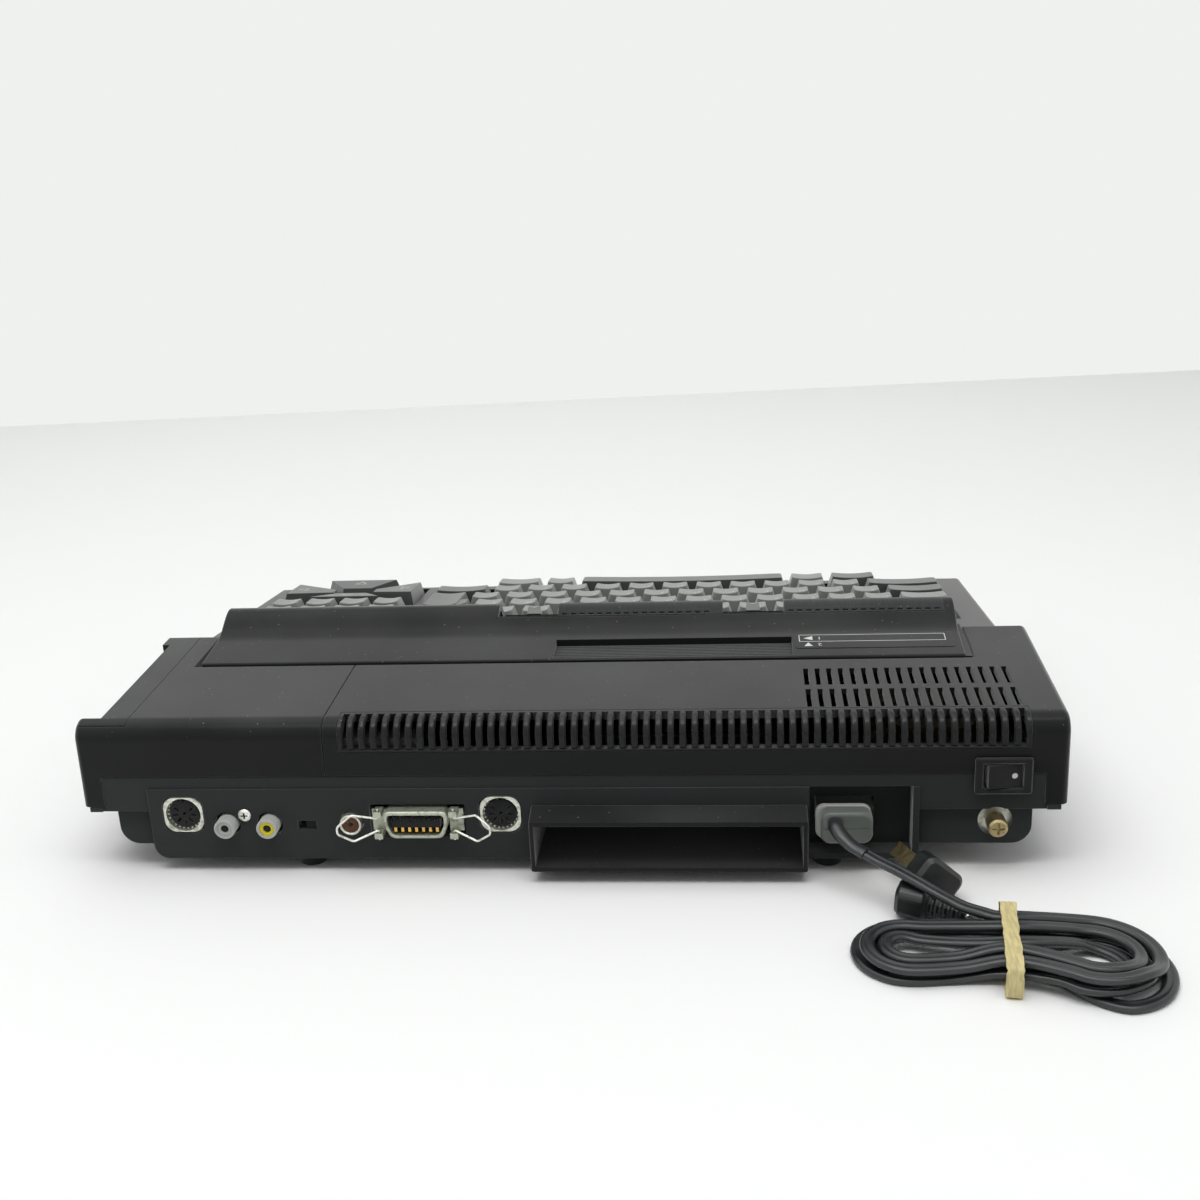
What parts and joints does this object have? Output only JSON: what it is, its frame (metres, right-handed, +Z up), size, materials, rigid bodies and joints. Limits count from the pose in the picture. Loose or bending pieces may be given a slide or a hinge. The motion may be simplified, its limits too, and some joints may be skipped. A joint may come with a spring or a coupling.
{
  "type": "home computer",
  "caption": "Wedge-shaped home computer with a full keyboard, a disk drive in its side, two cartridge slots, rear sockets and a tied mains cord.",
  "frame": {"origin": "on the table under the middle of the case, at the bottom of the feet", "axes": "+X to the user's right, +Y to the rear panel, +Z up"},
  "size_m": [0.4283, 0.3878, 0.081],
  "materials": {
    "case": "fine-grained moulded ABS, charcoal",
    "keys": "moulded ABS, mid grey",
    "dark_keys": "moulded ABS, dark grey",
    "feet": "moulded rubber, black",
    "board": "glass-filled board, green",
    "contact_body": "moulded contact body, black",
    "drive_can": "pressed sheet",
    "plated_shell": "tin plate",
    "pale_insert": "moulded insulator, pale grey",
    "yellow_insert": "moulded insulator, yellow",
    "terminal": "turned and nickel-flashed brass",
    "transformer": "varnished laminations",
    "bail_wire": "bright spring wire",
    "connector": "moulded PVC, grey",
    "cord": "extruded PVC, grey",
    "band": "rubber band, buff"
  },
  "bodies": {
    "case": {"upper_case": "case", "rear_vent_grille": "case", "drive_cover": "case", "under_case": "case", "foot_rear_left": "feet", "foot_rear_right": "feet", "foot_front_left": "feet", "foot_front_right": "feet", "bridge": "case", "control_panel": "case", "rear_slot_shroud": "case", "main_board": "board", "upper_slot_connector": "contact_body", "rear_slot_connector": "contact_body", "disk_drive": "drive_can", "rgb_socket": "plated_shell", "tape_socket": "plated_shell", "audio_jack": "pale_insert", "video_jack": "yellow_insert", "aerial_jack": "plated_shell", "channel_switch": "contact_body", "printer_socket": "plated_shell", "mains_inlet": "pale_insert", "earth_terminal": "terminal", "power_switch": "contact_body", "power_transformer": "transformer", "power_board": "board", "keyboard_plate": "keys", "cord_connector": "connector", "cord_sleeve": "cord", "cord_lead": "cord", "cord_hank": "cord", "cord_tie": "band", "mains_plug": "cord"},
    "slot_flap": {"slot_flap": "case"},
    "speed_slider": {"speed_slider": "keys"},
    "rapid_fire_slider": {"rapid_fire_slider": "keys"},
    "pause_button": {"pause_button": "dark_keys"},
    "eject_button": {"eject_button": "dark_keys"},
    "channel_slider": {"channel_slider": "keys"},
    "power_rocker": {"power_rocker": "dark_keys"},
    "printer_bail_right": {"printer_bail_right": "bail_wire"},
    "printer_bail_left": {"printer_bail_left": "bail_wire"},
    "key_return": {"key_return": "dark_keys"},
    "key_escape": {"key_escape": "dark_keys"},
    "key_backspace": {"key_backspace": "dark_keys"},
    "key_control": {"key_control": "dark_keys"},
    "key_shift_left": {"key_shift_left": "dark_keys"},
    "key_shift_right": {"key_shift_right": "dark_keys"},
    "key_caps": {"key_caps": "dark_keys"},
    "key_space": {"key_space": "dark_keys"},
    "key_f1": {"key_f1": "dark_keys"},
    "key_f2": {"key_f2": "dark_keys"},
    "key_f3": {"key_f3": "dark_keys"},
    "key_f4": {"key_f4": "dark_keys"},
    "key_f5": {"key_f5": "dark_keys"},
    "key_cursor_up": {"key_cursor_up": "keys"},
    "key_cursor_left": {"key_cursor_left": "keys"},
    "key_cursor_down": {"key_cursor_down": "keys"},
    "key_cursor_right": {"key_cursor_right": "keys"}
  },
  "joints": [
    {"name": "key_return_press", "type": "slide", "parent": "case", "child": "key_return", "axis": [0, 0.1191, -0.9929], "range_m": [0, 0.0034], "stiffness_N_per_m": 250, "springref_m": -0.002},
    {"name": "key_escape_press", "type": "slide", "parent": "case", "child": "key_escape", "axis": [0, 0.1191, -0.9929], "range_m": [0, 0.0034], "stiffness_N_per_m": 250, "springref_m": -0.002},
    {"name": "key_backspace_press", "type": "slide", "parent": "case", "child": "key_backspace", "axis": [0, 0.1191, -0.9929], "range_m": [0, 0.0034], "stiffness_N_per_m": 250, "springref_m": -0.002},
    {"name": "key_control_press", "type": "slide", "parent": "case", "child": "key_control", "axis": [0, 0.1191, -0.9929], "range_m": [0, 0.0034], "stiffness_N_per_m": 250, "springref_m": -0.002},
    {"name": "key_shift_left_press", "type": "slide", "parent": "case", "child": "key_shift_left", "axis": [0, 0.1191, -0.9929], "range_m": [0, 0.0034], "stiffness_N_per_m": 250, "springref_m": -0.002},
    {"name": "key_shift_right_press", "type": "slide", "parent": "case", "child": "key_shift_right", "axis": [0, 0.1191, -0.9929], "range_m": [0, 0.0034], "stiffness_N_per_m": 250, "springref_m": -0.002},
    {"name": "key_caps_press", "type": "slide", "parent": "case", "child": "key_caps", "axis": [0, 0.1191, -0.9929], "range_m": [0, 0.0034], "stiffness_N_per_m": 250, "springref_m": -0.002},
    {"name": "key_space_press", "type": "slide", "parent": "case", "child": "key_space", "axis": [0, 0.1191, -0.9929], "range_m": [0, 0.0034], "stiffness_N_per_m": 250, "springref_m": -0.002},
    {"name": "key_f1_press", "type": "slide", "parent": "case", "child": "key_f1", "axis": [0, 0.1191, -0.9929], "range_m": [0, 0.0034], "stiffness_N_per_m": 250, "springref_m": -0.002},
    {"name": "key_f2_press", "type": "slide", "parent": "case", "child": "key_f2", "axis": [0, 0.1191, -0.9929], "range_m": [0, 0.0034], "stiffness_N_per_m": 250, "springref_m": -0.002},
    {"name": "key_f3_press", "type": "slide", "parent": "case", "child": "key_f3", "axis": [0, 0.1191, -0.9929], "range_m": [0, 0.0034], "stiffness_N_per_m": 250, "springref_m": -0.002},
    {"name": "key_f4_press", "type": "slide", "parent": "case", "child": "key_f4", "axis": [0, 0.1191, -0.9929], "range_m": [0, 0.0034], "stiffness_N_per_m": 250, "springref_m": -0.002},
    {"name": "key_f5_press", "type": "slide", "parent": "case", "child": "key_f5", "axis": [0, 0.1191, -0.9929], "range_m": [0, 0.0034], "stiffness_N_per_m": 250, "springref_m": -0.002},
    {"name": "key_cursor_up_press", "type": "slide", "parent": "case", "child": "key_cursor_up", "axis": [0, 0.1191, -0.9929], "range_m": [0, 0.0024], "stiffness_N_per_m": 250, "springref_m": -0.002},
    {"name": "key_cursor_left_press", "type": "slide", "parent": "case", "child": "key_cursor_left", "axis": [0, 0.1191, -0.9929], "range_m": [0, 0.0024], "stiffness_N_per_m": 250, "springref_m": -0.002},
    {"name": "key_cursor_down_press", "type": "slide", "parent": "case", "child": "key_cursor_down", "axis": [0, 0.1191, -0.9929], "range_m": [0, 0.0024], "stiffness_N_per_m": 250, "springref_m": -0.002},
    {"name": "key_cursor_right_press", "type": "slide", "parent": "case", "child": "key_cursor_right", "axis": [0, 0.1191, -0.9929], "range_m": [0, 0.0024], "stiffness_N_per_m": 250, "springref_m": -0.002},
    {"name": "slot_flap_swing", "type": "hinge", "parent": "case", "child": "slot_flap", "pos_m": [-0.0444, 0.0731, 0.0682], "axis": [1, 0, 0], "range_deg": [0, 85], "stiffness_Nm_per_rad": 0.002, "springref_deg": -57.3},
    {"name": "speed_slider_slide", "type": "slide", "parent": "case", "child": "speed_slider", "axis": [1, 0, 0], "range_m": [-0.008, 0.008]},
    {"name": "rapid_fire_slider_slide", "type": "slide", "parent": "case", "child": "rapid_fire_slider", "axis": [1, 0, 0], "range_m": [-0.008, 0.008]},
    {"name": "pause_button_press", "type": "slide", "parent": "case", "child": "pause_button", "axis": [0, 0.7436, -0.6686], "range_m": [0, 0.002], "stiffness_N_per_m": 250, "springref_m": -0.002},
    {"name": "eject_button_press", "type": "slide", "parent": "case", "child": "eject_button", "axis": [-1, 0, 0], "range_m": [0, 0.0045], "stiffness_N_per_m": 250, "springref_m": -0.002},
    {"name": "channel_slider_slide", "type": "slide", "parent": "case", "child": "channel_slider", "axis": [1, 0, 0], "range_m": [0, 0.0032]},
    {"name": "power_rocker_tip", "type": "hinge", "parent": "case", "child": "power_rocker", "pos_m": [-0.1768, 0.1365, 0.0429], "axis": [0, 0, 1], "range_deg": [-18, 0]},
    {"name": "printer_bail_right_swing", "type": "hinge", "parent": "case", "child": "printer_bail_right", "pos_m": [0.0756, 0.1429, 0.0235], "axis": [0, 0, 1], "range_deg": [-15, 100]},
    {"name": "printer_bail_left_swing", "type": "hinge", "parent": "case", "child": "printer_bail_left", "pos_m": [0.044, 0.1429, 0.0235], "axis": [0, 0, 1], "range_deg": [-100, 15]}
  ]
}
